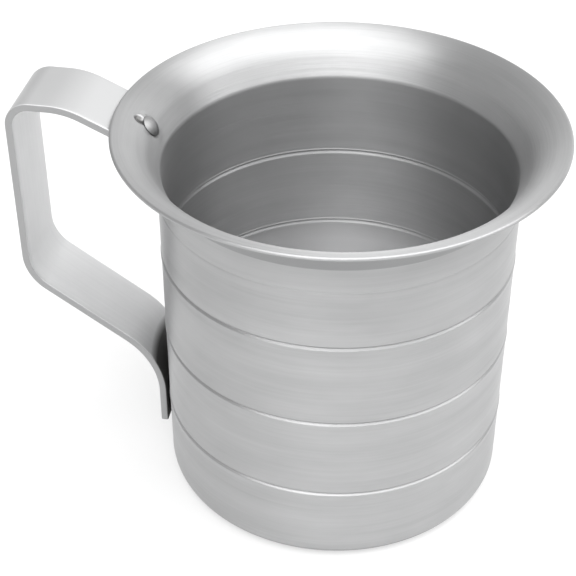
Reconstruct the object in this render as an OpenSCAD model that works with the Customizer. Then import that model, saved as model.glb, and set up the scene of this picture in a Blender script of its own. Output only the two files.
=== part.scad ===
// Flared aluminium melting pot with a riveted strap handle.
// The axis of the pot is Z, the base rests on Z = 0 and the handle points along -X.

/* [Pot body] */
// Outside diameter of the straight wall
body_d = 107.5; // [100:0.5:110]
// Height from the base to the top of the rim
body_h = 122; // [115:1:140]
// Thickness of the sheet that the pot is drawn from
wall = 1.2; // [0.9:0.1:1.6]
// Outside radius of the corner between the base and the wall
base_corner_r = 4; // [3:0.5:6]

/* [Pouring rim] */
// Diameter across the outside of the rim
rim_d = 133.4; // [131:0.2:140]
// Slope of the flare where it leaves the wall, up from the horizontal
neck_slope = 60; // [57:1:62]
// Slope of the flare at its lip
lip_slope = 12; // [8:1:16]
// Radius of the flare's curve, at the middle of the sheet
flare_r = 15.3; // [14:0.1:16]
// Radius of the crease under the flare
crease_r = 1.5; // [1:0.25:2]

/* [Measuring grooves] */
// Number of rolled grooves
groove_count = 3; // [1:1:3]
// Height of the highest groove
groove_top_z = 82.1; // [80:0.1:84]
// Distance between grooves
groove_pitch = 27.8; // [26:0.2:28]
// Depth of a groove in the outside of the wall
groove_depth = 0.5; // [0.2:0.1:0.7]
// Width of a groove outside
groove_w = 1.5; // [1.2:0.1:2.5]
// Width of the bead that the groove raises inside
bead_w = 2.7; // [2:0.1:3.5]

/* [Handle] */
// Width of the handle strap
strap_w = 24; // [18:0.5:26]
// Thickness of the handle strap
strap_t = 2.4; // [1.8:0.1:3]
// Distance from the pot's axis to the outer face of the grip
handle_reach = 97.5; // [93:0.5:110]
// Height of the top face of the handle over the rim
handle_rise = 4.8; // [3:0.2:7]
// Slope of the strap as it comes out from under the rim
rise_slope = 25.6; // [24:0.2:27]
// Height of the corner between the grip and the lower leg
grip_low_z = 65.2; // [60:0.2:70]
// Slope of the lower leg
leg_slope = 35; // [30:1:38]
// Height of the lower end of the handle
foot_z = 10.5; // [8:0.5:12]
// Bend radius of the knee above the rim, at the middle of the strap
knee_r = 22.8; // [15:0.1:25]
// Bend radius of the grip's upper corner
grip_top_r = 6.8; // [5:0.1:9]
// Bend radius of the grip's lower corner
grip_low_r = 13.8; // [8:0.1:16]
// Bend radius where the lower leg turns down the wall
foot_r = 25.2; // [15:0.1:26]

/* [Rivets] */
// Radius of a rivet's shank
shank_r = 2; // [1.5:0.1:2]
// Radius of a rivet's domed head, inside the pot
head_r = 3.3; // [2.8:0.1:3.6]
// Height of a rivet's domed head
head_h = 1.6; // [1:0.1:2]
// Radius of a rivet's closed tail, on the handle
tail_r = 2.5; // [2.2:0.1:2.5]
// Height of a rivet's closed tail
tail_h = 1.2; // [0.8:0.1:1.5]
// Slope of the flare where the upper rivet goes through it
rivet_slope = 53; // [52:0.5:55]
// Height of the lower rivet
lower_rivet_z = 16.5; // [16:0.5:18]

/* [Hidden] */
$fn = 128;

body_r = body_d / 2;
rim_r = rim_d / 2;
half_wall = wall / 2;
half_strap = strap_t / 2;
arc_step = 4;              // degrees between the points along a curved outline
groove_steps = 8;          // points across each groove and bead

// The flare, followed along the middle of the sheet from the wall to the lip.
// A slope of s puts the sheet's inner face in the direction 90 + s.
crease_mid_r = crease_r + half_wall;
flare_run = rim_r - body_r;
crease_run = crease_mid_r * (1 - sin(neck_slope));
curve_run = flare_r * (sin(neck_slope) - sin(lip_slope));
cone_len = (flare_run - crease_run - curve_run) / cos(neck_slope);
crease_rise = crease_mid_r * cos(neck_slope);
cone_rise = cone_len * sin(neck_slope);
curve_rise = flare_r * (cos(lip_slope) - cos(neck_slope));
wall_top_z = body_h - half_wall - crease_rise - cone_rise - curve_rise;
crease_c = [body_r + crease_r, wall_top_z];
cone_foot = crease_c + crease_mid_r * direction(90 + neck_slope);
cone_head = cone_foot + cone_len * direction(neck_slope);
flare_c = cone_head - flare_r * direction(90 + neck_slope);
lip_c = flare_c + flare_r * direction(90 + lip_slope);

// The handle, followed along the middle of the strap from its end under the flare.
seat_gap = 0.05;           // the strap stands this far off the flare, so that they don't overlap
tab_inset = 1;             // the strap's end stops this far short of the crease
tab_top_slope = 41;        // slope at which the strap leaves the flare
tab_bend_r = 3;            // bend radius there
tab_len = cone_len - tab_inset;
tab_r = flare_r - half_wall - seat_gap - half_strap;
tab_end = flare_c + tab_r * direction(90 + neck_slope) - tab_len * direction(neck_slope);
tab_top = flare_c + tab_r * direction(90 + tab_top_slope);
tab_mid = tab_top - tab_r * tan((neck_slope - tab_top_slope) / 2) * direction(tab_top_slope);
rise_foot = tab_top + tab_bend_r * tan((tab_top_slope - rise_slope) / 2) * direction(tab_top_slope);
top_line_z = body_h + handle_rise - half_strap;
grip_line_x = handle_reach - half_strap;
foot_line_x = body_r + half_strap;
knee = [rise_foot[0] + (top_line_z - rise_foot[1]) / tan(rise_slope), top_line_z];
leg_drop = (grip_line_x - foot_line_x) * tan(leg_slope);
strap_path = [
    tab_end,
    tab_mid,
    rise_foot,
    knee,
    [grip_line_x, top_line_z],
    [grip_line_x, grip_low_z],
    [foot_line_x, grip_low_z - leg_drop],
    [foot_line_x, foot_z]
];
bend_radii = [0, tab_r, tab_bend_r, knee_r, grip_top_r, grip_low_r, foot_r, 0];

// The rivets: a hole's edge is line to line with its shank.
seat_sink = 0.4;           // the lower head is drawn this far past its seat, then cut to the wall
head_gap = 0.08;           // the upper head's middle stands this far off the flare
shank_key = 0.5;           // a shank runs this far into its head and its tail
drill_through = 4;         // a drill runs this far past both sheets
dome_r = (head_r * head_r + head_h * head_h) / (2 * head_h);
upper_seat = flare_c + (flare_r + half_wall) * direction(90 + rivet_slope);
upper_grip = wall + seat_gap + strap_t;
lower_seat = [body_r - wall, lower_rivet_z];
lower_grip = wall + strap_t;

// A unit vector at an angle in the plane of the outline
function direction(a) = [cos(a), sin(a)];

// Points along an arc, both ends included
function arc(c, r, from, to) =
    let (n = ceil(abs(to - from) / arc_step))
    [for (i = [0 : n]) c + r * direction(from + (to - from) * i / n)];

// Points across a rolled groove or bead: a cosine dip of a given width and depth, on a wall at x
function dip(x, z, w, depth) =
    [for (i = [0 : groove_steps])
        let (u = 2 * i / groove_steps - 1)
        [x - depth * (1 + cos(180 * u)) / 2, z + u * w / 2]];

// Heights of the grooves, lowest first
function groove_heights() =
    [for (i = [groove_count - 1 : -1 : 0]) groove_top_z - i * groove_pitch];

function reversed(list) = [for (i = [len(list) - 1 : -1 : 0]) list[i]];

// Direction of the strap's path from point i to point i + 1
function heading(path, i) =
    let (d = path[i + 1] - path[i])
    atan2(d[1], d[0]);

// Turn of the path at point i, positive to the left
function turn(path, i) =
    let (t = heading(path, i) - heading(path, i - 1))
    t > 180 ? t - 360 : (t < -180 ? t + 360 : t);

// One side of the strap at a bend: an arc about the centre of the bend
function bend(path, i, r, side) =
    let (
        a = heading(path, i - 1),
        t = turn(path, i),
        s = sign(t),
        c = path[i] - r * tan(abs(t) / 2) * direction(a) + s * r * direction(a + 90)
    )
    arc(c, r - s * side, a - s * 90, a - s * 90 + t);

// One side of the strap from end to end; side is the distance to the left of its path
function strap_side(path, radii, side) =
    let (last = len(path) - 1)
    concat(
        [path[0] + side * direction(heading(path, 0) + 90)],
        [for (i = [1 : last - 1]) each bend(path, i, radii[i], side)],
        [path[last] + side * direction(heading(path, last - 1) + 90)]
    );

// The whole pot before drilling, in one wall of drawn sheet
module pot_blank() {
    outside = concat(
        [[0, 0]],
        arc([body_r - base_corner_r, base_corner_r], base_corner_r, -90, 0),
        [for (z = groove_heights()) each dip(body_r, z, groove_w, groove_depth)],
        arc(crease_c, crease_r, 180, 90 + neck_slope),
        arc(flare_c, flare_r - half_wall, 90 + neck_slope, 90 + lip_slope)
    );
    inside = concat(
        [[0, wall]],
        arc([body_r - base_corner_r, base_corner_r], base_corner_r - wall, -90, 0),
        [for (z = groove_heights()) each dip(body_r - wall, z, bead_w, groove_depth)],
        arc(crease_c, crease_r + wall, 180, 90 + neck_slope),
        arc(flare_c, flare_r + half_wall, 90 + neck_slope, 90 + lip_slope)
    );
    lip = arc(lip_c, half_wall, lip_slope - 90 + arc_step, lip_slope + 90 - arc_step);
    rotate_extrude()
        polygon(concat(outside, lip, reversed(inside)));
}

// The handle before drilling, as a bent strip of even width
module strap_blank() {
    outline = concat(
        strap_side(strap_path, bend_radii, half_strap),
        reversed(strap_side(strap_path, bend_radii, -half_strap))
    );
    rotate([90, 0, 180])
        linear_extrude(height = strap_w, center = true)
            polygon(outline);
}

// Puts a part's own origin on a seat inside the pot, its +Z out of a surface of slope s
module at_seat(seat, s) {
    translate([-seat[0], 0, seat[1]])
        rotate([0, s, 0])
            children();
}

// A straight shank through both sheets, and a little further each way
module shank(grip, extra) {
    translate([0, 0, -grip - extra])
        cylinder(r = shank_r, h = grip + 2 * extra);
}

// A domed head on its seat
module rivet_head() {
    rotate_extrude()
        intersection() {
            translate([0, head_h - dome_r])
                circle(r = dome_r);
            square([head_r, head_h]);
        }
}

// A flat closed tail on the far side of the strap
module rivet_tail(grip) {
    translate([0, 0, -grip - tail_h])
        cylinder(r = tail_r, h = tail_h);
}

// The space inside the straight wall
module wall_core() {
    cylinder(r = body_r - wall, h = wall_top_z);
}

// The two rivet holes
module drill() {
    at_seat(upper_seat, rivet_slope)
        shank(upper_grip, drill_through);
    at_seat(lower_seat, 90)
        shank(lower_grip, drill_through);
}

// Pot drawn and spun from one disc, with a flared rim all the way round
module pot_body() {
    color("silver")
        difference() {
            pot_blank();
            drill();
        }
}

// Bent strap handle, fixed under the flare and low on the wall. The upper rivet's tail, closed
// on the curve of the strap's end, beds a flat for itself there.
module handle_strap() {
    color("lightgray")
        difference() {
            strap_blank();
            drill();
            at_seat(upper_seat, rivet_slope)
                rivet_tail(upper_grip);
        }
}

// Rivet through the flare and the upper end of the handle
module upper_rivet() {
    color("gainsboro")
        at_seat(upper_seat, rivet_slope) {
            translate([0, 0, head_gap])
                rivet_head();
            rivet_tail(upper_grip);
            shank(upper_grip, shank_key);
        }
}

// Rivet through the wall and the lower end of the handle. Its head takes the wall's hollow shape.
module lower_rivet() {
    color("gainsboro") {
        intersection() {
            at_seat(lower_seat, 90) {
                rivet_head();
                translate([0, 0, -seat_sink])
                    cylinder(r = head_r, h = seat_sink);
            }
            wall_core();
        }
        at_seat(lower_seat, 90) {
            rivet_tail(lower_grip);
            shank(lower_grip, shank_key);
        }
    }
}

pot_body();
handle_strap();
upper_rivet();
lower_rivet();
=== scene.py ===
# %% [markdown]
# # A spun aluminium melting pot
# This lesson builds the looks of a tall round pot for melting and pouring wax. The pot has four
# pieces: a cup that was drawn and spun from one disc of sheet, a strap handle bent from a flat
# bar, and two rivets that join them. The measured model of the same four pieces is loaded first.
# It fixes every size and place, and each new piece is laid exactly over the one that it replaces.

# %% Load the measured model
import math

import bmesh
import bpy
from mathutils import Matrix, Vector


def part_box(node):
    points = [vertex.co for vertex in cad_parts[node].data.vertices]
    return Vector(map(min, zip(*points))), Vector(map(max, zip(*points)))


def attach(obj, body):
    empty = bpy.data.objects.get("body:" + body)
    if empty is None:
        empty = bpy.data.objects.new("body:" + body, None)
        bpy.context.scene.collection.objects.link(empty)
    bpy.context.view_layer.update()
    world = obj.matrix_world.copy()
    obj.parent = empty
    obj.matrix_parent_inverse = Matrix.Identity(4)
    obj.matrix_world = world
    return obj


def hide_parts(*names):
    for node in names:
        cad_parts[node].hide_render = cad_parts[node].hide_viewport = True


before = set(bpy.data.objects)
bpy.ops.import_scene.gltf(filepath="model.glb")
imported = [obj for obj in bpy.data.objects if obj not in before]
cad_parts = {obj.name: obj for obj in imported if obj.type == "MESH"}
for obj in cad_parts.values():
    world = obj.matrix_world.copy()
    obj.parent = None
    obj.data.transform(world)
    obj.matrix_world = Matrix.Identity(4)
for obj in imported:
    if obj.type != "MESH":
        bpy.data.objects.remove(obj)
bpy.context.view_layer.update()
MM = 0.001

# %% [markdown]
# ## What is read and what is repeated
# The outer sizes come straight from the boxes of the measured pieces. The radii of the bends and
# the depth of the grooves can't be read from a box, so they are repeated here, in millimetres,
# as a maker's drawing would give them.

# %% Sizes of the cup
cup_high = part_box("pot_body")[1]
RIM_R = cup_high.x / MM
CUP_H = cup_high.z / MM
SHEET = 1.2
HALF_SHEET = SHEET / 2
WALL_R = 53.75
CORNER_R = 4.0
CREASE_R = 1.5
FLARE_R = 15.3
NECK_SLOPE = 60.0
LIP_SLOPE = 12.0
GROOVE_HEIGHTS = [26.5, 54.3, 82.1]
GROOVE_DEPTH = 0.5
GROOVE_W = 1.5
BEAD_H = 0.16
BEAD_W = 1.1
print("cup: rim", round(2 * RIM_R, 1), "mm across,", round(CUP_H, 1), "mm high")

# %% [markdown]
# ## Drawing outlines from straight lines and arcs
# Spun and bent sheet is all straight lines and round bends, so two small helpers draw every
# outline: a unit step in a given direction, and the points along an arc. Points in the plane of
# an outline hold a distance from the axis and a height. Small steps keep the metal smooth.

# %% Helpers for outlines
ARC_STEP = 3.0


def heading(degrees):
    angle = math.radians(degrees)
    return Vector((math.cos(angle), math.sin(angle)))


def arc(centre, radius, start, end, step=ARC_STEP):
    count = max(2, math.ceil(abs(end - start) / step))
    return [centre + radius * heading(start + (end - start) * i / count) for i in range(count + 1)]


def line(start, end, step):
    count = max(1, math.ceil((end - start).length / step))
    return [start.lerp(end, i / count) for i in range(1, count)]


# %% [markdown]
# ## The pouring rim
# A spinner lays the rim over a former in one sweep: first a tight crease at the neck, then a
# short cone, then one long curve that runs out almost flat at the lip. The same four lengths
# place all of it, counted back from the lip, whose size is known.

# %% Layout of the rim
crease_mid_r = CREASE_R + HALF_SHEET
neck_sin = math.sin(math.radians(NECK_SLOPE))
neck_cos = math.cos(math.radians(NECK_SLOPE))
lip_sin = math.sin(math.radians(LIP_SLOPE))
lip_cos = math.cos(math.radians(LIP_SLOPE))
crease_run = crease_mid_r * (1 - neck_sin)
curve_run = FLARE_R * (neck_sin - lip_sin)
CONE_LEN = (RIM_R - WALL_R - crease_run - curve_run) / neck_cos
curve_rise = FLARE_R * (lip_cos - neck_cos)
WALL_TOP = CUP_H - HALF_SHEET - curve_rise - CONE_LEN * neck_sin - crease_mid_r * neck_cos
crease_centre = Vector((WALL_R + CREASE_R, WALL_TOP))
cone_head = crease_centre + crease_mid_r * heading(90 + NECK_SLOPE) + CONE_LEN * heading(NECK_SLOPE)
flare_centre = cone_head - FLARE_R * heading(90 + NECK_SLOPE)
lip_centre = flare_centre + FLARE_R * heading(90 + LIP_SLOPE)
print("neck at", round(WALL_TOP, 1), "mm, cone", round(CONE_LEN, 1), "mm long")

# %% [markdown]
# ## Spinning marks and measuring grooves
# The wall was pressed against a turning former by a roller, so it is never quite true: it keeps
# faint ripples that go all the way round. The three measuring grooves were rolled in afterwards
# with a narrow wheel, which leaves a sharp groove outside and a softer, lower bead inside. The
# wheel also pushes the wall out a little just below each groove. That swelling dies away over a
# millimetre or two, and it is what draws the bright line under each bead inside. The roller has
# left one shallow mark of its own near the neck. All of this is real shape, so it is put into
# the outline here, and not left to a bump in the material. A ripple is given by its depth, its
# length and where it starts, a roller mark by its height, width and depth, and a swelling by how
# far it goes out and how far down.

# %% The wall with its ripples and grooves
RIPPLES = [(0.012, 9.1, 0.4), (0.008, 4.3, 1.9), (0.004, 2.3, 3.1)]
ROLLER_MARKS = [(101.2, 1.4, 0.14)]
SWELL_OUT = (0.2, 2.0)
SWELL_IN = (0.48, 1.3)
WALL_STEP = 0.7
BUSY_STEP = 0.12
SWELL_REACH = 2.0


def ease(t):
    t = min(1.0, max(0.0, t))
    return t * t * (3 - 2 * t)


def ripple(height):
    return sum(deep * math.sin(2 * math.pi * height / long + start) for deep, long, start in RIPPLES)


def dip(height, width, depth):
    across = 2 * height / width
    return depth * (1 + math.cos(math.pi * across)) / 2 if abs(across) < 1 else 0.0


def wall_heights(width):
    busy = [(g - width / 2 - SWELL_REACH, g + width / 2) for g in GROOVE_HEIGHTS]
    busy += [(at - wide / 2, at + wide / 2) for at, wide, deep in ROLLER_MARKS]
    heights, z = [], CORNER_R + WALL_STEP
    while z < WALL_TOP - BUSY_STEP:
        heights.append(z)
        near = any(low - WALL_STEP < z < high for low, high in busy)
        z += BUSY_STEP if near else WALL_STEP
    return heights


def swelling(height, width, long):
    below = [g - height for g in GROOVE_HEIGHTS if g > height]
    if not below:
        return 0.0
    away = min(below)
    return ease(2 * away / width) * ease(1 - (away - width / 2) / long)


def wall_line(radius, width, depth, swell, marks):
    points = []
    for z in wall_heights(width):
        rolled = sum(dip(z - g, width, depth) for g in GROOVE_HEIGHTS)
        marked = sum(dip(z - at, wide, deep) for at, wide, deep in marks)
        swollen = swell[0] * swelling(z, width, swell[1])
        points.append(Vector((radius + ripple(z) + swollen - rolled - marked, z)))
    return points


print("wall drawn with", len(wall_heights(GROOVE_W)), "points outside")

# %% [markdown]
# ## Turning an outline into metal
# A cup is a surface of revolution, so its mesh is a lathe: the closed outline is copied round
# the axis and the copies are joined by faces. Doing this in mesh code keeps the faces in even
# rings, which satin metal needs, because any uneven face would show in its reflections. A point
# that lies on the axis becomes one single vertex, with a fan of triangles round it.

# %% The lathe
ON_AXIS = 1e-6


def even_turn(count):
    return [360 * i / count for i in range(count)]


def lathe(name, outline, angles):
    vertices, rings, turns = [], [], len(angles)
    for r, z in outline:
        if r < ON_AXIS:
            rings.append([len(vertices)] * turns)
            vertices.append((0.0, 0.0, z * MM))
            continue
        rings.append(list(range(len(vertices), len(vertices) + turns)))
        for angle in angles:
            out = r * MM * heading(angle)
            vertices.append((out.x, out.y, z * MM))
    faces = []
    for lower, upper in zip(rings, rings[1:]):
        for i in range(turns):
            j = (i + 1) % turns
            corners = [lower[i], lower[j], upper[j], upper[i]]
            faces.append(list(dict.fromkeys(corners)))
    mesh = bpy.data.meshes.new(name)
    mesh.from_pydata(vertices, [], faces)
    piece = bpy.data.objects.new(name, mesh)
    bpy.context.scene.collection.objects.link(piece)
    mesh.shade_smooth()
    return piece


def spread(points, step):
    """The same line with extra points wherever two neighbours stand far apart."""
    full = [points[0]]
    for a, b in zip(points, points[1:]):
        full += line(a, b, step) + [b]
    return full


# %% [markdown]
# ## The cup
# The outline runs from the middle of the base, up the outside, round the lip and down the
# inside. The sheet is thinned a little at the neck, where its inside turns more softly than its
# outside. Most of the cup needs a copy of the outline every degree or so. On the handle's side
# the copies stand closer, because the rivet will press its mark into the metal there.

# %% Spin the cup
FLOOR_STEP = 2.5
FLARE_STEP = 1.5
NECK_INSIDE_R = 3.2
CUP_STEP = 1.5
FINE_STEP = 0.4
FINE_HALF = 10.0
NECK_CLEAR = 0.1
LIP_STEP = 20.0
CONE_STEP = 0.8
HANDLE_SIDE = 180
corner_centre = Vector((WALL_R - CORNER_R, CORNER_R))
cup_outside = (
    spread([Vector((0, 0)), corner_centre + CORNER_R * heading(-90)], FLOOR_STEP)
    + arc(corner_centre, CORNER_R, -90, 0)[1:]
    + wall_line(WALL_R, GROOVE_W, GROOVE_DEPTH, SWELL_OUT, ROLLER_MARKS)
    + arc(crease_centre, CREASE_R, 180, 90 + NECK_SLOPE)
    + arc(flare_centre, FLARE_R - HALF_SHEET, 90 + NECK_SLOPE, 90 + LIP_SLOPE, FLARE_STEP)
)
neck_trim = (NECK_INSIDE_R - CREASE_R - SHEET) * math.tan(math.radians(90 - NECK_SLOPE) / 2)
neck_centre = Vector((WALL_R - SHEET + NECK_INSIDE_R, WALL_TOP - neck_trim))
inside_wall = [point for point in wall_line(WALL_R - SHEET, BEAD_W, BEAD_H, SWELL_IN, [])
               if point.y < neck_centre.y - NECK_CLEAR]
cup_inside = (
    spread([Vector((0, SHEET)), corner_centre + (CORNER_R - SHEET) * heading(-90)], FLOOR_STEP)
    + arc(corner_centre, CORNER_R - SHEET, -90, 0)[1:]
    + inside_wall
    + arc(neck_centre, NECK_INSIDE_R, 180, 90 + NECK_SLOPE)
    + arc(flare_centre, FLARE_R + HALF_SHEET, 90 + NECK_SLOPE, 90 + LIP_SLOPE, FLARE_STEP)
)
cup_lip = arc(lip_centre, HALF_SHEET, LIP_SLOPE - 90, LIP_SLOPE + 90, LIP_STEP)[1:-1]
cup_outline = spread(cup_outside, CONE_STEP) + cup_lip + spread(cup_inside, CONE_STEP)[::-1]
fine = [HANDLE_SIDE - FINE_HALF + FINE_STEP * i for i in range(int(2 * FINE_HALF / FINE_STEP) + 1)]
coarse = [angle for angle in even_turn(round(360 / CUP_STEP))
          if abs(angle - HANDLE_SIDE) > FINE_HALF + FINE_STEP]
cup = lathe("spun_cup", cup_outline, sorted(coarse + fine))
print("cup:", len(cup.data.polygons), "faces")

# %% [markdown]
# ## Where the rivets go
# A rivet goes square through the sheet, so its place is a seat on the inside of the cup and the
# slope of the metal there. The upper one sits on the curve of the flare, and the lower one near
# the foot of the wall. A seat is kept as one matrix: its Z axis points out of the metal, and
# anything built around the origin can be dropped onto it.

# %% Seats for the rivets
STRAP_T = 2.4
SEAT_GAP = 0.05
UPPER_SLOPE = 53.0
LOWER_Z = 16.5
upper_place = flare_centre + (FLARE_R + HALF_SHEET) * heading(90 + UPPER_SLOPE)
lower_place = Vector((WALL_R - SHEET, LOWER_Z))


def seat(place, slope):
    move = Matrix.Translation((-place.x * MM, 0, place.y * MM))
    return move @ Matrix.Rotation(math.radians(slope), 4, "Y")


upper_seat = seat(upper_place, UPPER_SLOPE)
lower_seat = seat(lower_place, 90)
UPPER_GRIP = SHEET + SEAT_GAP + STRAP_T
LOWER_GRIP = SHEET + STRAP_T
print("upper rivet at", [round(v / MM, 1) for v in upper_seat.translation], "mm")

# %% [markdown]
# ## The flat that a rivet leaves
# Closing a rivet squeezes the sheet under its head. On the curved flare that presses a small
# flat, where the metal was rounded before. The vertices near the seat are moved towards the
# plane of the head, fully in the middle and less and less towards the edge of the flat. Beside
# it the setting tool has slipped once and left a small pit.

# %% Press the flat round the upper rivet
FLAT_R = 3.3
FLAT_EDGE = 5.6
FLAT_SHARE = 0.75
SLIP_PLACE = Vector((-4.0, -1.5))
SLIP_R = 1.8
SLIP_DEPTH = 0.95
PIT_FLOOR = 0.25
PRESS_REACH = max(FLAT_EDGE, SLIP_PLACE.length + SLIP_R)
PRESS_DEPTH = 6.0
INSIDE_DEPTH = 2.2
AT_THE_TOP = 0.01
first_inside_vertex = next(
    v.index for v in cup.data.vertices
    if v.index > len(cup.data.vertices) / 3 and v.co.z > (CUP_H - AT_THE_TOP) * MM
)


def press_flat(piece, seat_matrix, sheet_depth):
    into_seat = seat_matrix.inverted()
    moved = 0
    for vertex in piece.data.vertices:
        spot = into_seat @ vertex.co
        away = math.hypot(spot.x, spot.y) / MM
        if away > PRESS_REACH or spot.z < -PRESS_DEPTH * MM:
            continue
        inner = spot.z > -(sheet_depth + INSIDE_DEPTH) * MM and vertex.index >= first_inside_vertex
        target = 0.0 if inner else -sheet_depth * MM
        share = FLAT_SHARE * (1 - ease((away - FLAT_R) / (FLAT_EDGE - FLAT_R)))
        spot.z += (target - spot.z) * share
        slip = math.hypot(spot.x / MM - SLIP_PLACE.x, spot.y / MM - SLIP_PLACE.y) / SLIP_R
        spot.z -= SLIP_DEPTH * MM * ease(1 + PIT_FLOOR - slip) * inner
        vertex.co = seat_matrix @ spot
        moved += 1
    return moved


print("flat pressed with", press_flat(cup, upper_seat, SHEET), "points")

# %% [markdown]
# ## The strap handle
# The handle is one flat bar, bent in six places. It starts under the flare and follows its
# curve, rises over the rim, turns down into the grip, turns back towards the cup and ends
# against the wall. A bar like this is drawn as a path with a bend radius at every corner, then
# swept: one rounded section is carried along the path, always square to it.

# %% Path of the strap
strap_low, strap_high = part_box("handle_strap")
STRAP_W = (strap_high.y - strap_low.y) / MM
HALF_STRAP = STRAP_T / 2
RISE_SLOPE = 25.6
LEG_SLOPE = 35.0
TAB_TOP_SLOPE = 41.0
TAB_BEND_R = 3.0
TAB_INSET = 1.0
GRIP_LOW_Z = 65.2
BENDS = {"knee": 22.8, "grip top": 6.8, "grip low": 13.8, "foot": 25.2}

tab_r = FLARE_R - HALF_SHEET - SEAT_GAP - HALF_STRAP
tab_len = CONE_LEN - TAB_INSET
tab_end = flare_centre + tab_r * heading(90 + NECK_SLOPE) - tab_len * heading(NECK_SLOPE)
tab_top = flare_centre + tab_r * heading(90 + TAB_TOP_SLOPE)
tab_trim = tab_r * math.tan(math.radians(NECK_SLOPE - TAB_TOP_SLOPE) / 2)
rise_trim = TAB_BEND_R * math.tan(math.radians(TAB_TOP_SLOPE - RISE_SLOPE) / 2)
tab_mid = tab_top - tab_trim * heading(TAB_TOP_SLOPE)
rise_foot = tab_top + rise_trim * heading(TAB_TOP_SLOPE)
top_z = strap_high.z / MM - HALF_STRAP
grip_x = -strap_low.x / MM - HALF_STRAP
foot_x = WALL_R + HALF_STRAP
foot_z = strap_low.z / MM
knee = Vector((rise_foot.x + (top_z - rise_foot.y) / math.tan(math.radians(RISE_SLOPE)), top_z))
leg_foot_z = GRIP_LOW_Z - (grip_x - foot_x) * math.tan(math.radians(LEG_SLOPE))
strap_path = [
    tab_end, tab_mid, rise_foot, knee,
    Vector((grip_x, top_z)), Vector((grip_x, GRIP_LOW_Z)),
    Vector((foot_x, leg_foot_z)), Vector((foot_x, foot_z)),
]
strap_bends = [0, tab_r, TAB_BEND_R, *BENDS.values(), 0]
print("strap:", round(STRAP_W, 1), "by", STRAP_T, "mm, reaches", round(grip_x + HALF_STRAP, 1), "mm")

# %% [markdown]
# ## Walking along the bends
# Every corner of the path is replaced by an arc that touches both of its neighbours. At each
# stop the walk notes where it is and which way it is going, so that the section can be set
# square to it. The straight parts get stops as well, so that no face grows much longer than the
# ones beside it.

# %% Stops along the strap
STRAP_STEP = 2.5


def walk(path, radii):
    stops = []
    directions = [(b - a).normalized() for a, b in zip(path, path[1:])]
    trims = [0.0]
    for i in range(1, len(path) - 1):
        turn = directions[i - 1].angle_signed(directions[i])
        trims.append(radii[i] * math.tan(abs(turn) / 2))
    trims.append(0.0)
    for i, ahead in enumerate(directions):
        start = path[i] + trims[i] * ahead
        end = path[i + 1] - trims[i + 1] * ahead
        if (end - start).length > 0.01:
            stops += [(p, ahead) for p in [start] + line(start, end, STRAP_STEP) + [end]]
        if i + 1 < len(directions):
            after = directions[i + 1]
            left = Vector((-ahead.y, ahead.x))
            side = 1.0 if ahead.x * after.y - ahead.y * after.x > 0 else -1.0
            turn = math.acos(max(-1.0, min(1.0, ahead.dot(after))))
            centre = end + side * radii[i + 1] * left
            count = max(2, math.ceil(math.degrees(turn) / ARC_STEP))
            for k in range(1, count):
                a = side * turn * k / count
                spun = Vector((ahead.x * math.cos(a) - ahead.y * math.sin(a),
                               ahead.x * math.sin(a) + ahead.y * math.cos(a)))
                stops.append((centre - side * radii[i + 1] * Vector((-spun.y, spun.x)), spun))
    return stops


strap_stops = walk(strap_path, strap_bends)
print("strap walked in", len(strap_stops), "stops")

# %% [markdown]
# ## The section of the strap
# The bar was cut from sheet and then tumbled, so its long edges are slightly round. The section
# is a flat rectangle with eased corners. At both ends the same easing runs round the cut, so
# the first and last few sections shrink a little.

# %% Sweep the strap
EDGE_R = 0.45
EDGE_STEPS = 4
FACE_COLUMNS = 16


def strap_section(shrink):
    half_w, half_t = STRAP_W / 2 - shrink, HALF_STRAP - shrink
    ease_r = max(0.05, EDGE_R - shrink)
    section = []
    corners = [(1, 1, 0), (-1, 1, 90), (-1, -1, 180), (1, -1, 270)]
    for number, (w, t, start) in enumerate(corners):
        centre = Vector((w * (half_w - ease_r), t * (half_t - ease_r)))
        section += arc(centre, ease_r, start, start + 90, 90 / EDGE_STEPS)
        if number in (0, 2):
            far = Vector((-w * (half_w - ease_r), t * half_t))
            near = Vector((w * (half_w - ease_r), t * half_t))
            section += line(near, far, (near - far).length / FACE_COLUMNS)
    return section


def sweep(name, stops):
    sections = []
    for place, ahead, shrink in stops:
        left = Vector((-ahead.y, ahead.x))
        sections.append([
            (-(place.x + left.x * t) * MM, w * MM, (place.y + left.y * t) * MM)
            for w, t in strap_section(shrink)
        ])
    size = len(sections[0])
    vertices = [corner for section in sections for corner in section]
    faces = [[s * size + i, s * size + (i + 1) % size, (s + 1) * size + (i + 1) % size, (s + 1) * size + i]
             for s in range(len(sections) - 1) for i in range(size)]
    faces.append(list(range(size))[::-1])
    faces.append([len(vertices) - size + i for i in range(size)])
    mesh = bpy.data.meshes.new(name)
    mesh.from_pydata(vertices, [], faces)
    piece = bpy.data.objects.new(name, mesh)
    bpy.context.scene.collection.objects.link(piece)
    mesh.shade_smooth()
    return piece


def ease_ends(stops):
    eased = [(place, ahead, 0.0) for place, ahead in stops]
    first_place, first_ahead = stops[0]
    last_place, last_ahead = stops[-1]
    cut = []
    for k in range(EDGE_STEPS + 1):
        angle = math.radians(90 * k / EDGE_STEPS)
        cut.append((EDGE_R * (1 - math.sin(angle)), EDGE_R * (1 - math.cos(angle))))
    head = [(first_place + depth * first_ahead, first_ahead, shrink)
            for shrink, depth in cut]
    tail = [(last_place - depth * last_ahead, last_ahead, shrink)
            for shrink, depth in cut][::-1]
    return head + eased[1:-1] + tail


strap = sweep("strap_handle", ease_ends(strap_stops))
print("strap:", len(strap.data.polygons), "faces")

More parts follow.
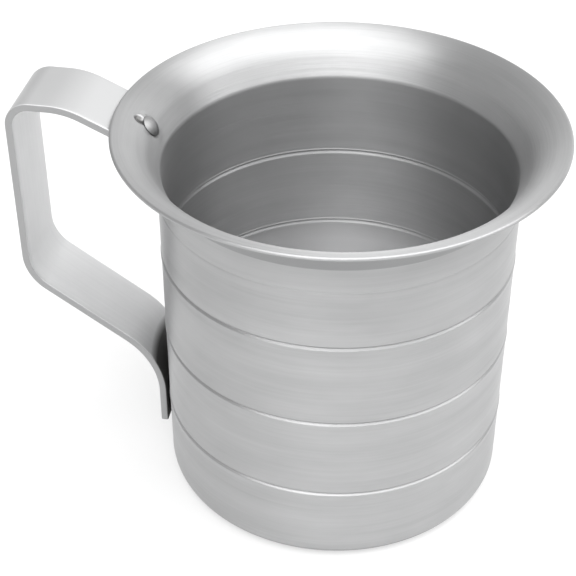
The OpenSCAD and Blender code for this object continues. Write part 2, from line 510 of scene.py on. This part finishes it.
# %% [markdown]
# ## The rivets
# A solid aluminium rivet has a low domed head inside the cup, a shank that fills the hole, and a
# tail that was hammered flat against the strap. All of it is round, so the lathe makes it too.
# The dome meets its flat rim in a small rounded edge, and the tail bulges a little, as a
# hammered tail does. Both rims are given as steps: how far out, and how far up or down.

# %% Turn the rivets
SHANK_R = 2.0
HEAD_R = 3.3
HEAD_H = 1.6
TAIL_R = 2.5
TAIL_H = 1.2
RIVET_TURNS = 72
DOME_STEPS = 14
HEAD_EDGE = 0.25
SHANK_EASE = 0.1
HEAD_RIM = [(0.02, 0.15), (-0.04, 0.05), (-0.2, 0.0)]
TAIL_RIM = [(-0.2, 0.0), (-0.02, 0.15), (0.0, 0.6), (-0.12, 1.0), (-0.4, 1.17)]


def rivet_outline(grip):
    dome_r = (HEAD_R ** 2 + (HEAD_H - HEAD_EDGE) ** 2) / (2 * (HEAD_H - HEAD_EDGE))
    widest = math.asin(HEAD_R / dome_r)
    dome = [Vector((dome_r * math.sin(widest * i / DOME_STEPS),
                    HEAD_H - dome_r * (1 - math.cos(widest * i / DOME_STEPS))))
            for i in range(DOME_STEPS + 1)]
    edge = [Vector((HEAD_R + out, up)) for out, up in HEAD_RIM]
    shank = [Vector((SHANK_R + SHANK_EASE, 0.0)), Vector((SHANK_R, -SHANK_EASE)),
             Vector((SHANK_R, SHANK_EASE - grip)), Vector((SHANK_R + SHANK_EASE, -grip))]
    tail = [Vector((TAIL_R + out, -grip - down)) for out, down in TAIL_RIM]
    tail += [Vector((TAIL_R / 2, -grip - TAIL_H)), Vector((0, -grip - TAIL_H))]
    return (dome + edge + shank + tail)[::-1]


upper_rivet = lathe("domed_rivet_upper", rivet_outline(UPPER_GRIP), even_turn(RIVET_TURNS))
upper_rivet.data.transform(upper_seat)
lower_rivet = lathe("domed_rivet_lower", rivet_outline(LOWER_GRIP), even_turn(RIVET_TURNS))
lower_rivet.data.transform(lower_seat)
print("rivets:", len(upper_rivet.data.polygons), "faces each")

# %% [markdown]
# ## Drilling the holes
# Both sheets are really drilled, so the meshes are too. A round drill is made with the lathe,
# and Blender's Boolean modifier takes it out of the metal. The drill for the strap has a
# wider end, which beds the tail of the upper rivet flat. A cut can leave vertices almost on top
# of each other, or a gap finer than a hair: these are welded and filled, so that each mesh is
# closed, and only the finished mesh is kept.

# %% Drill the cup and the strap
DRILL_TURNS = 48
DRILL_PAST = 2.0
WELD = 0.000004


def drill(name, steps, place):
    outline = [Vector((0, steps[0][1])), *map(Vector, steps), Vector((0, steps[-1][1]))]
    tool = lathe(name, outline, even_turn(DRILL_TURNS))
    tool.data.transform(place)
    return tool


def cut_away(piece, tool):
    cut = piece.modifiers.new("drill", "BOOLEAN")
    cut.operation = "DIFFERENCE"
    cut.solver = "EXACT"
    cut.object = tool
    bpy.context.view_layer.update()
    cut_piece = piece.evaluated_get(bpy.context.evaluated_depsgraph_get())
    cut_mesh = bpy.data.meshes.new_from_object(cut_piece)
    piece.modifiers.clear()
    before = len(piece.data.polygons)
    clean = bmesh.new()
    clean.from_mesh(cut_mesh)
    bmesh.ops.remove_doubles(clean, verts=clean.verts, dist=WELD)
    bmesh.ops.dissolve_degenerate(clean, edges=clean.edges, dist=WELD)
    bmesh.ops.holes_fill(clean, edges=[edge for edge in clean.edges if edge.is_boundary])
    clean.to_mesh(cut_mesh)
    clean.free()
    piece.data = cut_mesh
    bpy.data.objects.remove(tool)
    return len(cut_mesh.polygons) - before


for metal in (cup, strap):
    for grip, place in ((UPPER_GRIP, upper_seat), (LOWER_GRIP, lower_seat)):
        steps = [(SHANK_R, -grip - DRILL_PAST), (SHANK_R, DRILL_PAST)]
        if metal is strap and grip == UPPER_GRIP:
            steps = [(TAIL_R, -grip - DRILL_PAST), (TAIL_R, -grip), (SHANK_R, -grip),
                     (SHANK_R, DRILL_PAST)]
        print("drilled", metal.name, cut_away(metal, drill("drill", steps, place)), "faces more")

# %% [markdown]
# ## Handing the pieces to the frame
# Each new piece now stands for its measured one, which is hidden. The pot has no moving parts,
# so everything rides on the one body.

# %% Put the pieces in the frame
for piece, node, finish in (
    (cup, "pot_body", "spun_aluminium"),
    (strap, "handle_strap", "strap_aluminium"),
    (upper_rivet, "upper_rivet", "rivet_aluminium"),
    (lower_rivet, "lower_rivet", "rivet_aluminium"),
):
    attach(piece, "root")
    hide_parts(node)
    print(piece.name, "stands for", node)

# %% [markdown]
# ## A short way to write materials
# A finish is a small network of nodes. This helper adds one node, sets its values and joins its
# inputs, so that each finish below reads from top to bottom like a recipe. Three small words do
# most of the work: `between` turns a share into a range of values, `share` says how far a value
# has gone from one limit to another, and `mix` lays one colour over another by such a share.

# %% Helper for finishes


class Finish:
    def __init__(self, name):
        self.material = bpy.data.materials.new(name)
        self.material.use_nodes = True
        self.tree = self.material.node_tree
        self.tree.nodes.clear()
        self.shader = self.tree.nodes.new("ShaderNodeBsdfPrincipled")
        output = self.tree.nodes.new("ShaderNodeOutputMaterial")
        self.tree.links.new(self.shader.outputs["BSDF"], output.inputs["Surface"])
        self.place = self.add("TexCoord").outputs["Object"]

    def add(self, kind, inputs=None, **settings):
        node = self.tree.nodes.new("ShaderNode" + kind)
        for key, value in settings.items():
            setattr(node, key, value)
        for key, value in (inputs or {}).items():
            self.set(node.inputs[key], value)
        return node

    def set(self, socket, value):
        if isinstance(value, bpy.types.NodeSocket):
            self.tree.links.new(value, socket)
        else:
            socket.default_value = value

    def math(self, operation, a, b=0.0):
        return self.add("Math", {0: a, 1: b}, operation=operation).outputs[0]

    def between(self, low, high, share):
        """A value that goes from low to high as share goes from 0 to 1."""
        return self.add("MapRange", {"Value": share, "To Min": low, "To Max": high}).outputs[0]

    def share(self, value, start, end, top=1.0):
        """Goes from 0 to top as value goes from start to end."""
        return self.add("MapRange", {"Value": value, "From Min": start, "From Max": end,
                                     "To Max": top}).outputs[0]

    def mix(self, share, under, over):
        return self.add("MixRGB", {0: share, 1: under, 2: (*over, 1)}).outputs[0]

    def vector(self, operation, a, b):
        """Two vectors in, one number out: their distance, or how far one faces the other."""
        return self.add("VectorMath", {0: a, 1: b}, operation=operation).outputs["Value"]

    def grey(self, share, dark, light):
        ramp = self.add("ValToRGB", {"Fac": share})
        ramp.color_ramp.elements[0].color = (*dark, 1)
        ramp.color_ramp.elements[1].color = (*light, 1)
        ramp.color_ramp.elements[0].position = 0.25
        ramp.color_ramp.elements[1].position = 0.75
        return ramp.outputs["Color"]

    def noise(self, place, scale, detail=3.0, roughness=0.55):
        return self.add("TexNoise", {"Vector": place, "Scale": scale, "Detail": detail,
                                     "Roughness": roughness}).outputs["Fac"]


# %% [markdown]
# ## Spun aluminium
# Spinning leaves fine rings round the axis, and those rings decide how the metal shines: light
# is smeared across them, from the base to the rim, and stays sharp along them. The shader's
# anisotropy does this, turned to run up the wall. The rings themselves are a noise that is very
# long round the axis and very short along the outline. It is read from the direction to the
# axis and from height plus distance, so it has no seam and goes on over the floor and the rim.
# Its colour carries painted shade and painted light. Faces turned down, under the flare, get a
# painted shade, and so does the upright inside wall near the neck. Deep in the cup a painted
# lighter tone stands in for the light that the lit floor of the cup throws back. A painted shade
# also darkens the pit beside the upper rivet and the ring round the edge of its head.

# %% Finish of the cup
CUP_DARK = (0.41, 0.412, 0.415)
CUP_LIGHT = (0.55, 0.552, 0.555)
# painted shade for the faces turned down, under the flare
CUP_UNDER_SHADE = (0.33, 0.332, 0.335)
# painted light deep in the cup, for the light its lit floor throws back
CUP_DEEP_LIGHT = (0.66, 0.66, 0.665)
# painted shade on the inside wall near the neck
CUP_NECK_SHADE = (0.34, 0.342, 0.345)
# painted shade in the pit by the upper rivet and round the edge of its head
RECESS_SHADE = (0.1, 0.098, 0.095)
UNDER_SHADE_SHARE = 0.85
NECK_SHADE_SHARE = 0.5
RECESS_SHADE_SHARE = 0.8
FINE_RINGS = (1.3, 1500.0)
BROAD_RINGS = (0.5, 230.0)
STREAKS = (2.2, 110.0)
UNDER_FACING = (-0.25, -0.45)
INSIDE_FACING = (0.0, 0.5)
UPRIGHT_FACING = (0.5, 0.9)
DEEP_HEIGHTS = (0.056, 0.046)
NECK_SHADE_HEIGHTS = (0.06, 0.1)
PIT_SHADE_REACH = (SLIP_R * 0.8 * MM, SLIP_R * 1.2 * MM)
HEAD_SHADE_REACH = (3.4 * MM, 4.2 * MM)
PATCH_SCALE = 420.0
PATCH_LEVELS = (0.42, 0.6)


def spun_aluminium():
    f = Finish("spun_aluminium")
    split = f.add("SeparateXYZ", {0: f.place})
    flat = f.add("CombineXYZ", {0: split.outputs["X"], 1: split.outputs["Y"]}).outputs[0]
    radius = f.add("VectorMath", {0: flat}, operation="LENGTH").outputs["Value"]
    outward = f.add("VectorMath", {0: flat}, operation="NORMALIZE").outputs[0]
    height = split.outputs["Z"]
    along = f.math("ADD", radius, height)

    def ringed(round_scale, along_scale, detail, roughness=0.55):
        spin = f.add("VectorMath", {0: outward, "Scale": round_scale}, operation="SCALE").outputs[0]
        climb = f.add("CombineXYZ", {2: f.math("MULTIPLY", along, along_scale)}).outputs[0]
        spot = f.add("VectorMath", {0: spin, 1: climb}, operation="ADD").outputs[0]
        return f.noise(spot, 1.0, detail, roughness)

    fine_rings = ringed(*FINE_RINGS, 4.0, 0.6)
    broad_rings = ringed(*BROAD_RINGS, 2.0)
    streaks = ringed(*STREAKS, 3.0)
    handling = f.noise(f.place, 60.0, 3.0)
    rings = f.math("ADD", f.math("MULTIPLY", fine_rings, 0.5), f.math("MULTIPLY", broad_rings, 0.5))
    tone = f.math("ADD", f.math("MULTIPLY", rings, 0.65), f.math("MULTIPLY", streaks, 0.35))
    normal = f.add("NewGeometry").outputs["Normal"]
    facing_up = f.add("SeparateXYZ", {0: normal}).outputs["Z"]
    facing_out = f.vector("DOT_PRODUCT", normal, outward)
    facing_in = f.math("MULTIPLY", facing_out, -1.0)

    # painted shade: faces turned down, under the flare, are darkened
    under = f.share(facing_up, *UNDER_FACING, UNDER_SHADE_SHARE)
    spun = f.mix(under, f.grey(tone, CUP_DARK, CUP_LIGHT), CUP_UNDER_SHADE)
    # painted light: the inside wall low in the cup is made lighter
    inside = f.share(f.math("SUBTRACT", facing_up, facing_out), *INSIDE_FACING)
    deep = f.share(height, *DEEP_HEIGHTS)
    clean = f.mix(f.math("MULTIPLY", inside, deep), spun, CUP_DEEP_LIGHT)
    # painted shade: the upright inside wall near the neck is darkened
    upright = f.share(f.math("SUBTRACT", facing_in, facing_up), *UPRIGHT_FACING)
    upper = f.share(height, *NECK_SHADE_HEIGHTS, NECK_SHADE_SHARE)
    neck_shaded = f.mix(f.math("MULTIPLY", upright, upper), clean, CUP_NECK_SHADE)

    # painted shade, patchy, near one point: used for the pit and for the edge of the head
    def shade_near(centre, full, none):
        near = f.share(f.vector("DISTANCE", f.place, centre), none, full)
        patchy = f.share(f.noise(f.place, PATCH_SCALE, 1.0), *PATCH_LEVELS)
        return f.math("MULTIPLY", near, f.math("MULTIPLY", patchy, RECESS_SHADE_SHARE))

    pit = upper_seat @ Vector((SLIP_PLACE.x * MM, SLIP_PLACE.y * MM, -SLIP_DEPTH * MM))
    recess_shading = f.math("MAXIMUM", shade_near(pit, *PIT_SHADE_REACH), shade_near(upper_seat.translation, *HEAD_SHADE_REACH))
    f.set(f.shader.inputs["Base Color"], f.mix(recess_shading, neck_shaded, RECESS_SHADE))
    uneven = f.math("ADD", f.math("MULTIPLY", fine_rings, 0.6), f.math("MULTIPLY", handling, 0.4))
    f.set(f.shader.inputs["Roughness"], f.between(0.38, 0.5, uneven))
    f.shader.inputs["Metallic"].default_value = 1.0
    f.shader.inputs["Anisotropic"].default_value = 0.85
    f.shader.inputs["Anisotropic Rotation"].default_value = 0.25
    tangent = f.add("Tangent", direction_type="RADIAL", axis="Z")
    f.set(f.shader.inputs["Tangent"], tangent.outputs[0])
    bump = f.add("Bump", {"Height": fine_rings, "Strength": 0.5, "Distance": 0.00008})
    wide = f.add("Bump", {"Height": broad_rings, "Strength": 0.5, "Distance": 0.0002,
                          "Normal": bump.outputs[0]})
    f.set(f.shader.inputs["Normal"], wide.outputs[0])
    return f.material


cup.data.materials.clear()
cup.data.materials.append(spun_aluminium())
print("finish:", cup.data.materials[0].name)

# %% [markdown]
# ## Tumbled strap
# The handle was tumbled smooth with grit, so it is whiter and more even than the cup, with only
# faint lines along its length from the rolling mill. Since the bar is never turned sideways,
# those lines keep to one width position all the way along, and a noise that is stretched
# everywhere but across the width follows every bend. Its colour is changed in three places: a
# painted shade darkens the top face, the faces turned sideways are made darker, and a painted
# shade fills the narrow corner where the foot meets the cup.

# %% Finish of the strap
STRAP_DARK = (0.72, 0.723, 0.727)
STRAP_LIGHT = (0.82, 0.822, 0.825)
# painted shade for the top face of the handle
TOP_SHADE = (0.55, 0.552, 0.555)
# darker tone for the faces turned sideways
SIDE_DARK = (0.44, 0.442, 0.445)
# painted shade for the corner where the foot meets the cup
CORNER_SHADE = (0.13, 0.128, 0.125)
TOP_FACING = (0.4, 0.95)
TOP_HEIGHTS = (0.095, 0.105)
SIDE_FACING = (0.6, 0.9)
CORNER_FACING = (-0.01, -0.03)
CORNER_RADII = (0.0594, 0.0575)
CORNER_HEIGHTS = (0.075, 0.07)


def tumbled_aluminium(name, dark, light, rough_low, rough_high):
    f = Finish(name)
    stretched = f.add("Mapping", {"Vector": f.place, "Scale": (25.0, 1600.0, 25.0)}).outputs[0]
    mill_lines = f.noise(stretched, 1.0, 3.0)
    grain = f.noise(f.place, 2400.0, 2.0)
    clouds = f.noise(f.place, 70.0, 4.0)
    edge = f.between(0.0, 1.0, f.math("SUBTRACT", f.add("NewGeometry").outputs["Pointiness"], 0.5))
    tone = f.math("ADD", f.math("MULTIPLY", mill_lines, 0.35), f.math("MULTIPLY", clouds, 0.65))
    worn = f.math("ADD", tone, f.math("MULTIPLY", edge, 0.6))
    f.set(f.shader.inputs["Base Color"], f.grey(worn, dark, light))
    f.set(f.shader.inputs["Roughness"], f.between(rough_low, rough_high, clouds))
    f.shader.inputs["Metallic"].default_value = 1.0
    lines = f.add("Bump", {"Height": mill_lines, "Strength": 0.3, "Distance": 0.00002})
    skin = f.add("Bump", {"Height": grain, "Strength": 0.35, "Distance": 0.00002,
                          "Normal": lines.outputs[0]})
    f.set(f.shader.inputs["Normal"], skin.outputs[0])
    return f


def shaded_strap():
    f = tumbled_aluminium("tumbled_strap", STRAP_DARK, STRAP_LIGHT, 0.58, 0.68)
    tumbled = f.shader.inputs["Base Color"].links[0].from_socket
    normal = f.add("NewGeometry").outputs["Normal"]
    facing = f.add("SeparateXYZ", {0: normal})
    split = f.add("SeparateXYZ", {0: f.place})
    height = split.outputs["Z"]
    outward = f.add("CombineXYZ", {0: split.outputs["X"], 1: split.outputs["Y"]}).outputs[0]
    radius = f.add("VectorMath", {0: outward}, operation="LENGTH").outputs["Value"]
    # painted shade: the upward top face, high on the handle, is darkened
    upward = f.share(facing.outputs["Z"], *TOP_FACING)
    top = f.math("MULTIPLY", upward, f.share(height, *TOP_HEIGHTS))
    # the faces turned sideways are made darker
    side = f.share(f.math("ABSOLUTE", facing.outputs["Y"]), *SIDE_FACING)
    # painted shade: faces turned to the cup, low in the corner by the foot, are darkened
    toward_cup = f.share(f.vector("DOT_PRODUCT", normal, outward), *CORNER_FACING)
    corner = f.math("MULTIPLY", f.share(radius, *CORNER_RADII), toward_cup)
    corner_shading = f.math("MULTIPLY", corner, f.share(height, *CORNER_HEIGHTS))
    shaded_tone = f.mix(corner_shading, f.mix(side, f.mix(top, tumbled, TOP_SHADE), SIDE_DARK), CORNER_SHADE)
    f.set(f.shader.inputs["Base Color"], shaded_tone)
    return f.material


strap.data.materials.clear()
strap.data.materials.append(shaded_strap())
print("finish:", strap.data.materials[0].name)

# %% [markdown]
# ## Rivets
# The rivet heads are smoother than the strap, since the setting tool pressed them, and they have
# gone darker. The same recipe does, with a darker metal and a lower roughness.

# %% Finish of the rivets
RIVET_DARK = (0.2, 0.2, 0.205)
RIVET_LIGHT = (0.34, 0.34, 0.34)
rivet_finish = tumbled_aluminium("set_rivet", RIVET_DARK, RIVET_LIGHT, 0.42, 0.54).material
for rivet in (upper_rivet, lower_rivet):
    rivet.data.materials.clear()
    rivet.data.materials.append(rivet_finish)
print("finish:", rivet_finish.name)

# %% [markdown]
# ## The floor
# The pot stands on a wide white floor. The lights alone would leave it grey, so it also glows by
# itself. It is set a hair below the base, so that the two surfaces never share one place.

# %% Floor
FLOOR_SIZE = 6.0
FLOOR_DROP = 0.0002
FLOOR_DARK = (0.39, 0.39, 0.39)
FLOOR_LIGHT = (0.41, 0.41, 0.41)
TABLE_GLOW = 0.54


def white_floor():
    f = Finish("white_floor")
    f.set(f.shader.inputs["Base Color"], f.grey(f.noise(f.place, 6.0), FLOOR_DARK, FLOOR_LIGHT))
    f.shader.inputs["Roughness"].default_value = 0.9
    f.shader.inputs["Specular IOR Level"].default_value = 0.1
    f.shader.inputs["Emission Color"].default_value = (1, 1, 1, 1)
    f.shader.inputs["Emission Strength"].default_value = TABLE_GLOW
    return f.material


floor_mesh = bpy.data.meshes.new("floor")
half = FLOOR_SIZE / 2
floor_corners = [(-half, -half, 0), (half, -half, 0), (half, half, 0), (-half, half, 0)]
floor_mesh.from_pydata(floor_corners, [], [(0, 1, 2, 3)])
floor = bpy.data.objects.new("floor", floor_mesh)
floor.location.z = -FLOOR_DROP
floor.data.materials.append(white_floor())
bpy.context.scene.collection.objects.link(floor)
print("floor:", FLOOR_SIZE, "m across")

# %% [markdown]
# ## The lights
# Satin metal shows its surroundings more than itself, so the light is the other half of the
# finish. One large, soft light hangs overhead and makes the bright fan on the flare. A weaker
# one stands behind the pot and lifts the edges. The pale room gives the rest, and because it is
# darker than the lights, it shapes the sides of the wall. A light's power here is worked out
# from how bright its face should look, so that a light can change size without changing looks.

# %% Lights


def soft_light(name, place, aim, width, height, radiance):
    lamp = bpy.data.lights.new(name, "AREA")
    lamp.shape = "RECTANGLE"
    lamp.size, lamp.size_y = width, height
    lamp.energy = radiance * math.pi * width * height
    holder = bpy.data.objects.new(name, lamp)
    holder.location = place
    holder.rotation_euler = (Vector(aim) - Vector(place)).to_track_quat("-Z", "Y").to_euler()
    holder.visible_camera = False
    bpy.context.scene.collection.objects.link(holder)
    return holder


ROOM = 0.64
world = bpy.data.worlds.new("pale_room")
world.use_nodes = True
world.node_tree.nodes["Background"].inputs["Color"].default_value = (1, 1, 1, 1)
world.node_tree.nodes["Background"].inputs["Strength"].default_value = ROOM
bpy.context.scene.world = world
pot_middle = (0.0, 0.0, 0.08)
soft_light("overhead", (0.25, -0.25, 1.15), pot_middle, 2.5, 1.3, 2.85)
soft_light("back", (0.35, 1.2, 0.5), pot_middle, 1.8, 0.8, 0.75)
print("room level:", ROOM)

# %% [markdown]
# ## Camera
# A long lens from a little above the rim shows the inside of the cup, the whole handle and the
# wall in one view, with hardly any stretching.

# %% Camera
CAMERA_PLACE = (0.0461, -0.3589, 0.3322)
CAMERA_TILT = 36.64
CAMERA_TURN = 9.72
LENS = 90.0
NEAREST = 0.01
camera_data = bpy.data.cameras.new("camera")
camera_data.lens = LENS
camera_data.clip_start = NEAREST
camera = bpy.data.objects.new("camera", camera_data)
camera.location = CAMERA_PLACE
camera.rotation_euler = (math.radians(90 - CAMERA_TILT), 0, math.radians(CAMERA_TURN))
bpy.context.scene.collection.objects.link(camera)
bpy.context.scene.camera = camera
bpy.context.scene.view_settings.view_transform = "Standard"
print("camera:", LENS, "mm lens")
